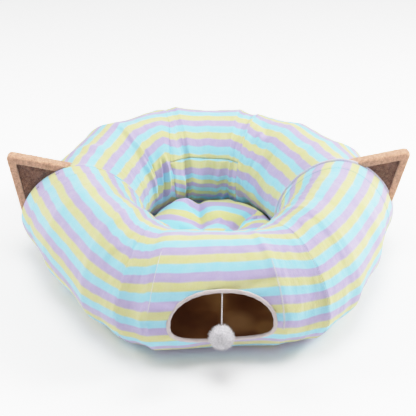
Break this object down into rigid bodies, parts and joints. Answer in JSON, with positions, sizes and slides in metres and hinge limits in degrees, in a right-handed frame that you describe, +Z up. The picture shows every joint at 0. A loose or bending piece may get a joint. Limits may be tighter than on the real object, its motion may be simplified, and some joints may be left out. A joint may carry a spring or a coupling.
{
  "type": "cat tunnel bed",
  "caption": "Ring-shaped striped cloth cat tunnel with a front entrance, a hanging pompom, plush ears at the joins and a tufted mat in the middle.",
  "frame": {"origin": "on the floor under the middle of the bed's box, taken without the string and the pompom", "axes": "+Z up, front entrance towards -Y, +X to the right seen from the front, ears at -X and +X"},
  "size_m": [0.9223, 0.8943, 0.2683],
  "materials": {
    "striped_cloth": "matt plain weave with lavender, yellow and blue stripes",
    "brown_lining": "dark brown lining with a slight sheen",
    "binding_tape": "matt off-white tape with a pink cast",
    "white_yarn": "fluffy white yarn",
    "tan_plush": "short tan pile",
    "dark_plush": "short dark brown pile"
  },
  "bodies": {
    "root": {"front_left_panel": "striped_cloth", "front_centre_panel": "striped_cloth", "front_right_panel": "striped_cloth", "right_join_band": "striped_cloth", "rear_right_panel": "striped_cloth", "rear_centre_panel": "striped_cloth", "rear_inner_wall_panel": "striped_cloth", "rear_left_panel": "striped_cloth", "left_join_band": "striped_cloth", "tunnel_lining": "brown_lining", "entrance_binding": "binding_tape", "nest_mat": "striped_cloth", "pompom": "white_yarn", "pompom_string": "white_yarn", "left_ear_shell": "tan_plush", "left_ear_inner": "dark_plush", "right_ear_shell": "tan_plush", "right_ear_inner": "dark_plush"}
  },
  "joints": []
}
